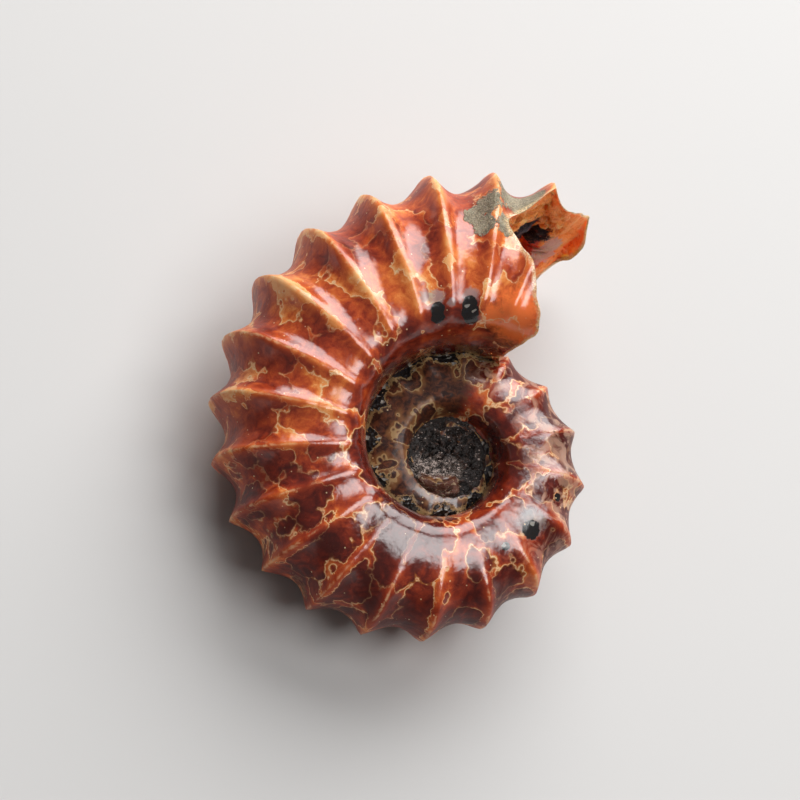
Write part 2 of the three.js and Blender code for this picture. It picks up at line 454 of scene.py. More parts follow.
@dataclass(frozen=True)
class Pit:
    """The round pit in the middle of a flank, down to the rock that fills the coil."""

    middle: tuple[float, float] = (0.45, -0.45)
    floor_radius: float = 4.6
    mouth_radius: float = 5.5
    middle_height: float = 1.2
    edge_height: float = 1.7
    top: float = 9.0
    lumps: float = 0.28
    floor_rings: int = 24
    wall_rings: int = 34
    spokes: int = 120
    finest: float = 1e-4
    lens_middle: tuple[float, float] = (-1.3, -2.6)
    lens_reach: tuple[float, float] = (2.9, 1.0)
    lens_height: float = 1.5
    lens_clears: float = 1.5
    crystal_size: float = 1.1
    crystal_height: float = 0.55
    wall_share: float = 0.35
    floor_edge: float = 0.9
    waves: tuple[tuple[float, float], ...] = ((1.9, 0.7), (-0.8, 2.3))

    def cutter(self, upper: bool) -> bmesh.types.BMesh:
        """Makes the solid that is hollowed out of the coil for the pit.

        Args:
            upper: Whether it is the pit of the upper flank.

        Returns:
            A new bmesh in millimetres.
        """
        mesh = bmesh.new()
        shares = [ring / self.floor_rings for ring in range(self.floor_rings + 1)]
        rise = self.edge_height - self.middle_height
        outline = [(self.floor_radius * share, self.middle_height + rise * share**2) for share in shares]
        slope = (self.mouth_radius - self.floor_radius) / (self.top - self.edge_height)
        for ring in range(1, self.wall_rings + 1):
            height = self.edge_height + (self.top - self.edge_height) * ring / self.wall_rings
            outline.append((self.floor_radius + slope * (height - self.edge_height), height))
        outline.append((0.0, self.top))
        verts = [mesh.verts.new((out, 0, up)) for out, up in outline]
        edges = [mesh.edges.new(pair) for pair in zip(verts, verts[1:])]
        turn = {"axis": (0, 0, 1), "cent": (0, 0, 0), "angle": math.tau, "steps": self.spokes}
        bmesh.ops.spin(mesh, geom=verts + edges, use_merge=True, **turn)
        bmesh.ops.remove_doubles(mesh, verts=mesh.verts, dist=self.finest)
        bmesh.ops.recalc_face_normals(mesh, faces=mesh.faces)
        for vert in mesh.verts:
            if vert.co.z < self.top - self.finest:
                self._roughen(vert)
        if not upper:
            bmesh.ops.rotate(mesh, verts=mesh.verts, matrix=Matrix.Rotation(math.pi, 3, "X"))
        bmesh.ops.translate(mesh, verts=mesh.verts, vec=(*self.middle, 0))
        for name in MAPS:
            mesh.loops.layers.uv.new(name)
        for face in mesh.faces:
            face.material_index = Finish.ROCK.value
        return mesh

    def _roughen(self, vert: bmesh.types.BMVert) -> None:
        """Gives one vertex of the floor or wall its share of the lumps, crystals and the smooth lens.

        Args:
            vert: The vertex.
        """
        x, y = vert.co.xy
        lens = self.on_lens(x, y)
        steps = noise.noise_vector(vert.co / self.crystal_size, noise_basis="VORONOI_CRACKLE")
        edge = self.floor_edge * self.floor_radius
        floor = 1 - float(smooth_rise(math.hypot(x, y), edge, self.floor_radius))
        across, along = (x * rate_x + y * rate_y for rate_x, rate_y in self.waves)
        vert.co.z += self.lumps * math.sin(across) * math.cos(along)
        crystals = (1 - min(1, self.lens_clears * lens)) * self.crystal_height * steps.z
        vert.co.z += floor * (lens * self.lens_height + crystals)
        around = Vector((x, y, 0)).normalized() * self.crystal_height * self.wall_share * (1 - floor)
        vert.co -= around * steps.x

    def on_lens(self, x: float, y: float) -> float:
        """How far up the lens of clear stone a place on the floor is, from 0 to 1.

        Args:
            x: Its place from the pit's middle, in millimetres.
            y: The same, the other way.

        Returns:
            The share of the lens's height.
        """
        offsets = zip((x, y), self.lens_middle, self.lens_reach)
        away = math.hypot(*((at - middle) / reach for at, middle, reach in offsets))
        return math.sqrt(max(0.0, 1 - away**2))


@dataclass(frozen=True)
class RestPose:
    """How the coil lies: turned about its middle, which stands over the surface."""

    slope: float = 8.1
    slope_heading: float = 64.5
    middle: tuple[float, float, float] = (3.14199, -6.12903, 11.09779)

    def matrix(self) -> Matrix:
        """Works out how the coil is laid down.

        Returns:
            The move from the coil's own millimetres to metres over the surface.
        """
        heading = math.radians(self.slope_heading)
        hinge = Vector((-math.sin(heading), math.cos(heading), 0))
        turn = Matrix.Rotation(-math.radians(self.slope), 4, hinge)
        return Matrix.Scale(MM, 4) @ Matrix.Translation(self.middle) @ turn


@dataclass(frozen=True)
class Spot:
    """A patch on the wall: its rib count and its place in degrees, and how far it reaches in millimetres."""

    count: float
    place: float
    reach: float

    def middle(self, coil: Coil, rest: Matrix) -> Vector:
        """Its middle on the finished mesh, in metres."""
        return rest @ Vector(coil.wall(np.array([self.count]), np.array([self.place]))[0])


@dataclass(frozen=True)
class Lump:
    """A patch in the broken end or in a pit: its middle as the fossil lies, and its reach, in millimetres."""

    at: tuple[float, float, float]
    reach: float

    def middle(self, coil: Coil, rest: Matrix) -> Vector:
        """Its middle on the finished mesh, in metres."""
        return Vector(self.at) * MM


@dataclass(frozen=True)
class Patches:
    """Patches of one kind, kept on the mesh as an attribute: 1 in the middle of a patch and 0 outside."""

    name: str
    spots: tuple[Spot | Lump, ...]
    fades_over: float = 1.5

    def mark(self, mesh: bpy.types.Mesh, coil: Coil, rest: Matrix) -> None:
        """Writes the attribute.

        Args:
            mesh: The finished mesh, in metres.
            coil: The coil on which the patches are placed.
            rest: The move from the coil's millimetres to the mesh.
        """
        corners = np.empty(len(mesh.vertices) * 3)
        mesh.vertices.foreach_get("co", corners)
        corners = corners.reshape(-1, 3)
        share = np.zeros(len(corners))
        for spot in self.spots:
            away = np.linalg.norm(corners - np.array(spot.middle(coil, rest)), axis=1) / (spot.reach * MM)
            share = np.maximum(share, np.clip(self.fades_over - away, 0, self.fades_over) / self.fades_over)
        marked = mesh.attributes.new(self.name, "FLOAT", "POINT")
        marked.data.foreach_set("value", share.astype(np.float32))


def spots(*rows: tuple[float, float, float]) -> tuple[Spot, ...]:
    """Patches on the wall, with a row of rib count, place and reach for each."""
    return tuple(Spot(*row) for row in rows)


def lumps(*rows: tuple[float, float, float, float]) -> tuple[Lump, ...]:
    """Patches inside the broken end or a pit, with a row of x, y, z and reach for each."""
    return tuple(Lump(row[:3], row[3]) for row in rows)


@dataclass(frozen=True)
class FossilBody:
    """The fossil as one closed solid: stretches of tube fused with the middle's rock, with the pits cut.

    Lengths are in millimetres. A stretch is given by its first and last rib, the points round its section
    and the steps from rib to rib.
    """

    name: str = "fossil_coil"
    coil: Coil = Coil()
    patches: tuple[Patches, ...] = (
        Patches(
            "black_pocket",
            spots(
                (3.43, 104.5, 0.95),
                (3.44, 113.5, 0.95),
                (2.41, 104.3, 1.0),
                (2.36, 113.7, 1.2),
                (2.25, 122, 0.9),
                (16.48, 68, 1.35),
                (15.7, 74, 0.6),
                (17.5, 55, 0.6),
            ),
        ),
        Patches(
            "grey_rock",
            spots(
                (1.30, 32, 2.2),
                (1.75, 40, 2.3),
                (2.15, 50, 1.9),
                (1.35, 45, 2.0),
                (0.5, 20, 2.2),
                (2.19, 63, 1.5),
                (1.78, 62, 1.5),
                (2.36, 54, 1.5),
                (1.58, 34, 1.6),
            ),
        ),
        Patches(
            "blue_grey",
            spots((3.42, 94, 1.1), (2.42, 97, 1.1), (3.0, 101, 0.6), (3.73, 91, 0.9), (16.6, 72, 2.0)),
        ),
        # The knob by the broken end: its own orange, brightened with painted light against the shade it lies
        # in.
        Patches("orange_lobe", spots((0.75, 108, 2.8), (0.5, 124, 2.8), (1.5, 118, 1.6), (0.2, 62, 2.6))),
        Patches(
            "pit_glitter",
            lumps((0.96, -7.89, 12.75, 1.5), (2.49, -8.19, 12.65, 1.7), (4.2, -7.8, 12.0, 1.4)),
        ),
        Patches(
            "pit_lens",
            lumps((1.1, -10.1, 12.96, 1.5), (2.54, -10.27, 12.84, 1.6), (3.8, -9.9, 12.5, 1.2)),
        ),
        # Patches of painted shadow in the broken end's hollow, where the matrix's edge casts shade.
        Patches(
            "break_shadow",
            lumps(
                (16.2, 23.0, 11.9, 2.3),
                (16.9, 22.1, 13.4, 2.0),
                (12.9, 20.0, 17.9, 2.6),
                (13.5, 19.0, 14.0, 3.2),
            ),
        ),
        Patches(
            "break_red",
            lumps((16.7, 22.15, 10.9, 1.6), (17.1, 21.7, 9.25, 1.9), (16.6, 20.5, 6.5, 2.6)),
        ),
        Patches(
            "break_pink",
            lumps((17.8, 21.8, 13.0, 1.3), (19.0, 21.6, 9.7, 1.9), (19.0, 21.15, 7.5, 1.9)),
        ),
    )
    finest: float = 0.012
    mends: int = 6
    ordering: tuple[float, float, float] = (0.541, 0.353, 0.763)
    seam_reach: float = 4.0
    seam_jump: float = 8.0
    seam_from: float = 0.5
    rim_ribs: float = 4.0
    lip_reaches: tuple[float, ...] = (1.0, 0.8, 0.8, 0.6, 0.6, 0.6, 0.4, 0.4)
    ripple: float = 0.09
    ripple_size: float = 2.6
    grain: float = 0.025
    grain_size: float = 0.7
    break_depth: float = 1 / 12
    break_height: float = 0.7
    break_waves: float = 0.6
    break_size: float = 1.9
    break_grain: float = 0.16
    stretches: tuple[tuple[float, float, int, int], ...] = (
        (0, 19, 144, 16),
        (19, 32, 112, 12),
        (32, 40, 64, 8),
    )
    pit: Pit = Pit()
    rock_radius: float = 6.0
    rock_half_thickness: float = 2.0
    rock_sides: int = 56
    rest: RestPose = RestPose()

    def build(self) -> bpy.types.Object:
        """Makes the finished mesh, in metres, as the fossil lies.

        Returns:
            The object, at the origin.
        """
        noise.seed_set(NOISE_SEED)
        mesh = self._fused()
        self._put_in_order(mesh)
        self._keep_largest(mesh)
        self._tidy(mesh)
        self._round_lips(mesh)
        self._ripple(mesh)
        bmesh.ops.transform(mesh, matrix=self.rest.matrix(), verts=mesh.verts)
        self._wear_flat(mesh)
        bmesh.ops.recalc_face_normals(mesh, faces=mesh.faces)
        for face in mesh.faces:
            face.smooth = True
        self._mark_rim(mesh)
        self._mark_seam(mesh)
        finished = bpy.data.meshes.new(self.name)
        mesh.to_mesh(finished)
        mesh.free()
        for patches in self.patches:
            patches.mark(finished, self.coil, self.rest.matrix())
        fossil = bpy.data.objects.new(self.name, finished)
        bpy.context.scene.collection.objects.link(fossil)
        return fossil

    def _fused(self) -> bmesh.types.BMesh:
        """Fuses the stretches of tube and the rock, and cuts the pits out of them.

        Returns:
            A new bmesh, in millimetres.
        """
        stretches = [CoilPiece(self.coil, *stretch).build() for stretch in self.stretches]
        body, *others = [self._object(mesh) for mesh in stretches]
        others.append(self._object(self._rock()))
        cutters = [self._object(self.pit.cutter(upper)) for upper in (True, False)]
        groups = [self._combine(body, others, Fusing.JOIN), self._combine(body, cutters, Fusing.CUT)]
        depsgraph = bpy.context.evaluated_depsgraph_get()
        fused = bpy.data.meshes.new_from_object(body.evaluated_get(depsgraph))
        for used in (body, *others, *cutters):
            bpy.data.meshes.remove(used.data)
        for group in groups:
            bpy.data.collections.remove(group)
        mesh = bmesh.new()
        mesh.from_mesh(fused)
        bpy.data.meshes.remove(fused)
        return mesh

    def _rock(self) -> bmesh.types.BMesh:
        """Makes the disc of rock in the middle of the coil.

        Returns:
            A new bmesh, in millimetres.
        """
        mesh = bmesh.new()
        radii = {"radius1": self.rock_radius, "radius2": self.rock_radius}
        depth = 2 * self.rock_half_thickness
        bmesh.ops.create_cone(mesh, cap_ends=True, segments=self.rock_sides, depth=depth, **radii)
        for name in MAPS:
            mesh.loops.layers.uv.new(name)
        for face in mesh.faces:
            face.material_index = Finish.ROCK.value
        return mesh

    def _round_lips(self, mesh: bmesh.types.BMesh) -> None:
        """Rounds the edge between the polished wall and the rock of the pits.

        Args:
            mesh: The bmesh, in millimetres.
        """
        rim = [e for e in mesh.edges if len({face.material_index for face in e.link_faces}) == 2]
        near = {vert for edge in rim for vert in edge.verts}
        tree = self._tree([vert.co for vert in near])
        axes = {"use_axis_x": True, "use_axis_y": True, "use_axis_z": True}
        for reach in self.lip_reaches:
            lip = [vert for vert in mesh.verts if tree.find(vert.co)[2] < reach]
            bmesh.ops.smooth_vert(mesh, verts=lip, factor=0.5, **axes)

    def _ripple(self, mesh: bmesh.types.BMesh) -> None:
        """Moves every vertex in or out a little, so that the polish isn't perfectly even.

        Args:
            mesh: The bmesh, in millimetres.
        """
        mesh.normal_update()
        inside = mesh.loops.layers.uv["inside"]
        depths = {}
        for face in mesh.faces:
            for loop in face.loops:
                depths[loop.vert] = loop[inside].uv.x
        moves = []
        for vert in mesh.verts:
            broken = min(1.0, depths.get(vert, 0.0) / self.break_depth)
            wave = self.ripple * noise.noise(vert.co / self.ripple_size)
            grain = self.grain * noise.noise(vert.co / self.grain_size)
            facets = noise.noise_vector(vert.co / self.break_size, noise_basis="VORONOI_CRACKLE")
            waves = self.break_waves * noise.noise(vert.co / self.break_size)
            rough = self.break_height * (facets.x + waves)
            rough += self.break_grain * noise.noise(vert.co / self.grain_size)
            moves.append(vert.normal * ((1 - broken) * (wave + grain) + broken * rough))
        for vert, move in zip(mesh.verts, moves):
            vert.co += move

    def _mark_rim(self, mesh: bmesh.types.BMesh) -> None:
        """Writes how many ribs behind the broken rim each vertex is, or below zero how deep in the hollow.

        Args:
            mesh: The bmesh, in metres.
        """
        coil, inside = (mesh.loops.layers.uv[name] for name in MAPS)
        behind = mesh.verts.layers.float.new("behind_rim")
        for vert in mesh.verts:
            loops = vert.link_loops
            depth = max(loop[inside].uv.x for loop in loops)
            count, place = loops[0][coil].uv
            rim = float(self.coil.rim_back(np.array([90 * place]))[0]) if count < self.rim_ribs else 0.0
            vert[behind] = -depth if depth > 0 else max(0.0, count - rim)

    def _mark_seam(self, mesh: bmesh.types.BMesh) -> None:
        """Writes how close each vertex is to the seam between two turns, as an attribute from 0 to 1.

        Args:
            mesh: The bmesh, in metres.
        """
        coil = mesh.loops.layers.uv["coil"]
        seam = []
        for edge in mesh.edges:
            counts = [loop[coil].uv.x for loop in edge.link_loops]
            jump = len(counts) == 2 and abs(counts[0] - counts[1]) > self.seam_jump
            if jump and min(counts) > self.seam_from:
                seam.append((edge.verts[0].co + edge.verts[1].co) / 2)
        log.info("%d edges on the seam between the turns", len(seam))
        tree = self._tree(seam)
        near = mesh.verts.layers.float.new("near_seam")
        for vert in mesh.verts:
            vert[near] = max(0.0, 1 - tree.find(vert.co)[2] / (self.seam_reach * MM))

    def _tree(self, points: list) -> kdtree.KDTree:
        """A tree that finds the nearest of some points.

        Args:
            points: The points.

        Returns:
            The tree, ready for use.
        """
        tree = kdtree.KDTree(len(points))
        for number, point in enumerate(points):
            tree.insert(point, number)
        tree.balance()
        return tree

    def _object(self, mesh: bmesh.types.BMesh) -> bpy.types.Object:
        """Turns a bmesh into an object for fusing.

        Args:
            mesh: The bmesh, which is freed.

        Returns:
            The object.
        """
        data = bpy.data.meshes.new("stretch")
        mesh.to_mesh(data)
        mesh.free()
        made = bpy.data.objects.new("stretch", data)
        bpy.context.scene.collection.objects.link(made)
        return made

    def _combine(self, body: bpy.types.Object, others: list, fusing: Fusing) -> bpy.types.Collection:
        """Joins other solids to the body, or cuts them out.

        Args:
            body: The body.
            others: The other solids.
            fusing: What is done with them.

        Returns:
            The collection that holds them.
        """
        group = bpy.data.collections.new(fusing.value)
        for other in others:
            group.objects.link(other)
        modifier = body.modifiers.new(fusing.value, "BOOLEAN")
        modifier.operation = fusing.value
        modifier.solver = "MANIFOLD"
        modifier.operand_type = "COLLECTION"
        modifier.collection = group
        return group

    def _keep_largest(self, mesh: bmesh.types.BMesh) -> None:
        """Deletes the small voids shut in between the turns.

        Args:
            mesh: The bmesh.
        """
        waiting = set(mesh.verts)
        bodies = []
        while waiting:
            found = {waiting.pop()}
            ahead = list(found)
            while ahead:
                vert = ahead.pop()
                beside = {edge.other_vert(vert) for edge in vert.link_edges} - found
                found |= beside
                ahead.extend(beside)
            waiting -= found
            bodies.append(found)
        bodies.sort(key=len)
        log.info("%d shut-in voids left out", len(bodies) - 1)
        for small in bodies[:-1]:
            bmesh.ops.delete(mesh, geom=list(small), context="VERTS")

    def _put_in_order(self, mesh: bmesh.types.BMesh) -> None:
        """Sorts the mesh by place, because fusing gives it in another order on each run.

        Args:
            mesh: The bmesh.
        """
        across = Vector(self.ordering)
        mesh.verts.sort(key=lambda vert: vert.co.dot(across))
        mesh.edges.sort(key=lambda edge: (edge.verts[0].co + edge.verts[1].co).dot(across))
        mesh.faces.sort(key=lambda face: face.calc_center_median().dot(across))

    def _tidy(self, mesh: bmesh.types.BMesh) -> None:
        """Takes out the slivers and the tiny edges that fusing leaves.

        Args:
            mesh: The bmesh, in millimetres.
        """
        self._split(mesh)
        bmesh.ops.dissolve_degenerate(mesh, dist=self.finest, edges=mesh.edges)
        bmesh.ops.remove_doubles(mesh, verts=mesh.verts, dist=self.finest)
        self._split(mesh)
        for _ in range(self.mends):
            ends = [vert for edge in mesh.edges if not edge.is_manifold for vert in edge.verts]
            torn = {face for vert in ends for face in vert.link_faces}
            if not torn:
                break
            bmesh.ops.delete(mesh, geom=list(torn), context="FACES")
            self._close(mesh)

    def _split(self, mesh: bmesh.types.BMesh) -> None:
        """Splits the faces with more than four corners into triangles."""
        bmesh.ops.triangulate(mesh, faces=[face for face in mesh.faces if len(face.verts) > 4])

    def _wear_flat(self, mesh: bmesh.types.BMesh) -> None:
        """Wears off what is below the surface that the fossil lies on.

        Args:
            mesh: The bmesh, in metres.
        """
        geometry = [*mesh.verts, *mesh.edges, *mesh.faces]
        plane = {"plane_co": (0, 0, 0), "plane_no": (0, 0, 1), "clear_inner": True}
        bmesh.ops.bisect_plane(mesh, geom=geometry, dist=self.finest * MM, **plane)
        self._close(mesh)

    def _close(self, mesh: bmesh.types.BMesh) -> None:
        """Closes the holes with faces that take their finish and maps from the faces beside them.

        Args:
            mesh: The bmesh.
        """
        open_edges = [edge for edge in mesh.edges if edge.is_boundary]
        closing = bmesh.ops.holes_fill(mesh, edges=open_edges, sides=0)["faces"]
        maps = [mesh.loops.layers.uv[name] for name in MAPS]
        for face in closing:
            for loop in face.loops:
                beside = next(other for other in loop.vert.link_loops if other.face is not face)
                face.material_index = beside.face.material_index
                for uv in maps:
                    loop[uv].uv = beside[uv].uv
        bmesh.ops.triangulate(mesh, faces=closing)


# ---- Finishes ----

Socket = bpy.types.NodeSocket
Colour = tuple[float, float, float]
Span = tuple[float, ...]


class NodeSheet:
    """A material's node tree, drawn by short calls."""

    def __init__(self, name: str) -> None:
        """Starts an empty material.

        Args:
            name: The material's name.
        """
        self.material = bpy.data.materials.new(name)
        self.material.use_nodes = True
        self.tree = self.material.node_tree
        self.shader = self.tree.nodes["Principled BSDF"]

    def node(self, kind: str, inputs: dict | None = None, **settings: object) -> bpy.types.Node:
        """Adds a node.

        Args:
            kind: The node's type, without its ShaderNode prefix.
            inputs: Sockets or values for its inputs, by name or number.
            settings: Its own settings.

        Returns:
            The node.
        """
        made = self.tree.nodes.new("ShaderNode" + kind)
        for name, setting in settings.items():
            setattr(made, name, setting)
        for name, source in (inputs or {}).items():
            self.feed(made.inputs[name], source)
        return made

    def feed(self, target: Socket, source: object) -> None:
        """Links a socket to an input, or sets the input's value.

        Args:
            target: The input.
            source: A socket, a number or a colour.
        """
        if isinstance(source, bpy.types.NodeSocket):
            self.tree.links.new(source, target)
        elif target.type == "RGBA":
            target.default_value = (*source[:3], 1.0)
        else:
            target.default_value = source

    def math(self, operation: str, *values: object) -> Socket:
        """Works out a number from sockets or numbers, by the Math node's operation."""
        return self.node("Math", dict(enumerate(values)), operation=operation).outputs[0]

    def rise(self, value: Socket, low: object, high: object, start: float = 0.0, end: float = 1.0) -> Socket:
        """A smooth step of a value.

        Args:
            value: The value.
            low: Where the step starts.
            high: Where it ends, which may be below low.
            start: The result at low.
            end: The result at high.

        Returns:
            The result.
        """
        inputs = {"Value": value, "From Min": low, "From Max": high, "To Min": start, "To Max": end}
        return self.node("MapRange", inputs, interpolation_type="SMOOTHSTEP").outputs[0]

    def blend(self, share: object, first: object, second: object) -> Socket:
        """Mixes two colours.

        Args:
            share: How much of the second.
            first: A colour or socket.
            second: A colour or socket.

        Returns:
            The mixed colour.
        """
        mixed = self.node("Mix", data_type="RGBA")
        for socket, source in ((mixed.inputs[0], share), (mixed.inputs[6], first), (mixed.inputs[7], second)):
            self.feed(socket, source)
        return mixed.outputs[2]

    def ramp(self, value: Socket, stops: tuple[tuple[float, Colour], ...]) -> Socket:
        """A smooth run of colours.

        Args:
            value: Where on the run, from 0 to 1.
            stops: The places and colours of its stops.

        Returns:
            The colour.
        """
        made = self.node("ValToRGB", {0: value})
        elements = made.color_ramp.elements
        made.color_ramp.interpolation = "B_SPLINE"
        elements.remove(elements[1])
        for number, (place, colour) in enumerate(stops):
            element = elements[0] if number == 0 else elements.new(place)
            element.position = place
            element.color = (*colour, 1.0)
        return made.outputs[0]

    def attribute(self, name: str) -> Socket:
        """A number that the mesh carries at its vertices."""
        return self.node("Attribute", attribute_name=name).outputs["Fac"]

    def millimetres(self) -> Socket:
        """Places on the piece, in millimetres."""
        where = self.node("TexCoord").outputs["Object"]
        return self.scaled(where, (1 / MM,) * 3)

    def scaled(self, place: Socket, scales: tuple[float, float, float]) -> Socket:
        """A place with each of its parts multiplied."""
        return self.node("VectorMath", {0: place, 1: scales}, operation="MULTIPLY").outputs[0]

    def cells(self, place: Socket, scale: float) -> tuple[Socket, Socket]:
        """A pattern of cells.

        Args:
            place: Where to look it up.
            scale: Its scale.

        Returns:
            How far each point is from the middle of its cell, and a number from 0 to 1 that each cell draws.
        """
        made = self.node("TexVoronoi", {"Vector": place, "Scale": scale})
        return made.outputs["Distance"], self.node("SeparateXYZ", {0: made.outputs["Color"]}).outputs[0]

    def noise(
        self, place: Socket, scale: float, detail: float = 2.0, rough: float = 0.5, bend: float = 0.0
    ) -> Socket:
        """A cloud pattern.

        Args:
            place: Where to look it up.
            scale: Its scale.
            detail: Its octaves.
            rough: How strong the finer octaves are.
            bend: How far it is bent by itself.

        Returns:
            Values round 0.5.
        """
        inputs = {"Vector": place, "Scale": scale, "Detail": detail, "Roughness": rough, "Distortion": bend}
        return self.node("TexNoise", inputs, noise_dimensions="3D").outputs[0]

    def product(self, *values: object) -> Socket:
        """Multiplies numbers.

        Args:
            values: Sockets or numbers.

        Returns:
            Their product.
        """
        result = values[0]
        for value in values[1:]:
            result = self.math("MULTIPLY", result, value)
        return result

    def total(self, *values: object) -> Socket:
        """Adds numbers.

        Args:
            values: Sockets or numbers.

        Returns:
            Their sum.
        """
        result = values[0]
        for value in values[1:]:
            result = self.math("ADD", result, value)
        return result

    def sway(self, cloud: Socket, much: float) -> Socket:
        """A cloud's swing about its middle, made so much larger."""
        return self.product(self.math("SUBTRACT", cloud, 0.5), much)

    def larger(self, first: Socket, second: Socket) -> Socket:
        """The larger of two numbers."""
        return self.math("MAXIMUM", first, second)

    def rest_of(self, share: Socket) -> Socket:
        """What a share leaves of 1."""
        return self.math("SUBTRACT", 1.0, share)

    def off_whole(self, value: Socket) -> Socket:
        """How far a number is from the nearest whole one."""
        return self.math("ABSOLUTE", self.math("SUBTRACT", value, self.math("ROUND", value)))

    def bump(self, height: Socket, strength: float, distance: float, under: Socket | None = None) -> Socket:
        """A relief in the shading.

        Args:
            height: Its heights.
            strength: How strong it is.
            distance: How high a height of 1 stands, in metres.
            under: The normals that it is laid on.

        Returns:
            The normals.
        """
        inputs = {"Height": height, "Strength": strength, "Distance": distance}
        if under:
            inputs["Normal"] = under
        return self.node("Bump", inputs).outputs[0]


@dataclass(frozen=True)
class SutureLobes:
    """The frilled edges of the chambers' walls: round lobes with beaded edges, in millimetres."""

    lobe_size: float = 4.2
    lobe_radius: float = 2.75
    bead_size: float = 0.85
    bead_depth: float = 0.9
    bend_size: float = 3.0
    bend: float = 2.6
    crest_push: float = 1.25
    wander: float = 2.2
    wander_scale: float = 0.12

    def draw(self, sheet: NodeSheet, mm: Socket, clearing: Socket) -> Socket:
        """Works out how far each point is from the nearest lobe's edge.

        Args:
            sheet: The material.
            mm: Places in millimetres.
            clearing: How far the lobes keep clear of a place, such as 1 on the crests of the ribs.

        Returns:
            The distance in millimetres, below zero inside a lobe.
        """
        cloud = sheet.node("TexNoise", {"Vector": mm, "Scale": 1 / self.bend_size, "Detail": 1.0})
        bend = sheet.scaled(cloud.outputs["Color"], (self.bend,) * 3)
        bent = sheet.node("VectorMath", {0: mm, 1: bend}).outputs[0]
        lobes, _ = sheet.cells(bent, 1 / self.lobe_size)
        beads, _ = sheet.cells(mm, 1 / self.bead_size)
        return sheet.total(
            sheet.product(lobes, self.lobe_size),
            sheet.sway(beads, self.bead_size * self.bead_depth),
            sheet.sway(sheet.noise(mm, self.wander_scale, 1.0), self.wander),
            sheet.product(clearing, self.crest_push),
            -self.lobe_radius,
        )


class StoneSheet(NodeSheet):
    """A sheet with the places, clouds, ribs and frilled lines that the polished stone's patterns share."""

    CLOUDS = {
        "broad": (0.15, 1.0, 0.5, 0.6),
        "swirl": (0.42, 3.0, 0.55, 1.6),
        "fine": (1.6, 4.0, 0.65, 0.6),
        "grain": (7.0, 3.0, 0.7),
    }
    OLDER_RIBS = (7.0, 11.5)
    RIGHT_RIBS = (15.0, 17.5)
    INNER_RIBS = (21.2, 21.9)
    INNER_RAGGED = 1.2
    CREST_EDGE = (0.36, 0.16)
    CREST_PLACES = (1.15, 0.6, 0.35, 1.0)
    CREST_RAGGED = (0.22, 0.14)
    CLEAR_OF = (0.5, 0.25)
    LOBE_EDGE = (0.03, -0.09)
    FADING = (0.52, 0.72, 0.15, 1.0)
    FADING_FINE = 0.3

    def __init__(self, name: str, sutures: SutureLobes) -> None:
        """Reads the places and draws the patterns.

        Args:
            name: The material's name.
            sutures: The frilled edges.
        """
        super().__init__(name)
        coil = self.node("SeparateXYZ", {0: self.node("UVMap", uv_map="coil").outputs[0]})
        self.count = coil.outputs[0]
        self.place = self.math("ABSOLUTE", coil.outputs[1])
        self.mm = self.millimetres()
        self.clouds = {name: self.noise(self.mm, *cloud) for name, cloud in self.CLOUDS.items()}
        self.broad, self.swirl, self.fine, self.grain = self.clouds.values()

        self.older = self.rise(self.count, *self.OLDER_RIBS)
        self.right = self.rise(self.count, *self.RIGHT_RIBS)
        ragged_count = self.total(self.count, self.sway(self.fine, self.INNER_RAGGED))
        self.inner = self.rise(ragged_count, *self.INNER_RIBS)
        self.crest_off = self.off_whole(self.count)
        ragged = zip((self.fine, self.swirl), self.CREST_RAGGED)
        off = self.total(self.crest_off, *(self.product(cloud, much) for cloud, much in ragged))
        crest = self.rise(off, *self.CREST_EDGE)
        self.crest = self.product(crest, self.rise(self.place, *self.CREST_PLACES))

        clear_of = zip((self.inner, self.older), self.CLEAR_OF)
        clearing = self.total(self.crest, *(self.product(share, much) for share, much in clear_of))
        signed = sutures.draw(self, self.mm, clearing)
        self.from_line = self.math("ABSOLUTE", signed)
        self.within = self.rise(signed, *self.LOBE_EDGE)
        self.outside = self.rest_of(self.within)
        fading = self.total(self.broad, self.product(self.fine, self.FADING_FINE))
        self.fading = self.rise(fading, *self.FADING)

    def patch(self, name: str, ragged: float, low: float, high: float) -> Socket:
        """How far each point is inside the patches of one kind.

        Args:
            name: The patches' attribute.
            ragged: How ragged their edges are.
            low: Where the edge starts.
            high: Where it ends.

        Returns:
            Shares from 0 to 1.
        """
        return self.rise(self.total(self.attribute(name), self.sway(self.fine, ragged)), low, high)


